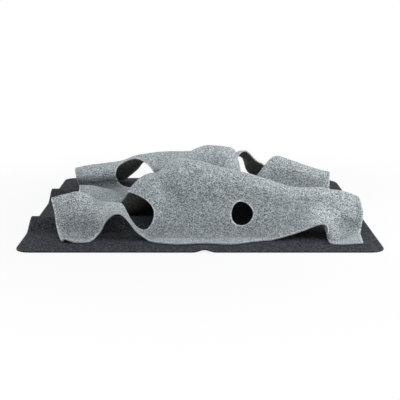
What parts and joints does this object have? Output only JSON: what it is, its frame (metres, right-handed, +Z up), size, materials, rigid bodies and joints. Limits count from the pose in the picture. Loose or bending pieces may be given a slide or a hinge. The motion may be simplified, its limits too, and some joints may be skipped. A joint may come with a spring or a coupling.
{
  "type": "cat activity play mat",
  "caption": "Two-layer felt play mat for cats: a rippled, cut-out cover forming tunnels and peep holes on a flat base, held by hook pads.",
  "frame": {"origin": "middle of the base mat, on the floor that it rests on", "axes": "+X to the right and +Y to the back as the picture shows the mat, +Z up"},
  "size_m": [0.99, 0.9902, 0.205],
  "materials": {
    "charcoal_felt": "matt needle felt",
    "grey_felt": "matt needle felt",
    "hook_tape": "matt woven tape with hooks"
  },
  "bodies": {
    "base": {"base_mat": "charcoal_felt"},
    "cover": {"cover_mat": "grey_felt", "hook_pad_front_left": "hook_tape", "hook_pad_front_middle_left": "hook_tape", "hook_pad_front_middle_right": "hook_tape", "hook_pad_front_right": "hook_tape", "hook_pad_middle_left": "hook_tape", "hook_pad_middle_right": "hook_tape", "hook_pad_back_left": "hook_tape", "hook_pad_back_right": "hook_tape"}
  },
  "joints": [
    {"name": "cover_lift", "type": "slide", "parent": "base", "child": "cover", "axis": [0, 0, 1], "range_m": [0, 0.3]}
  ]
}
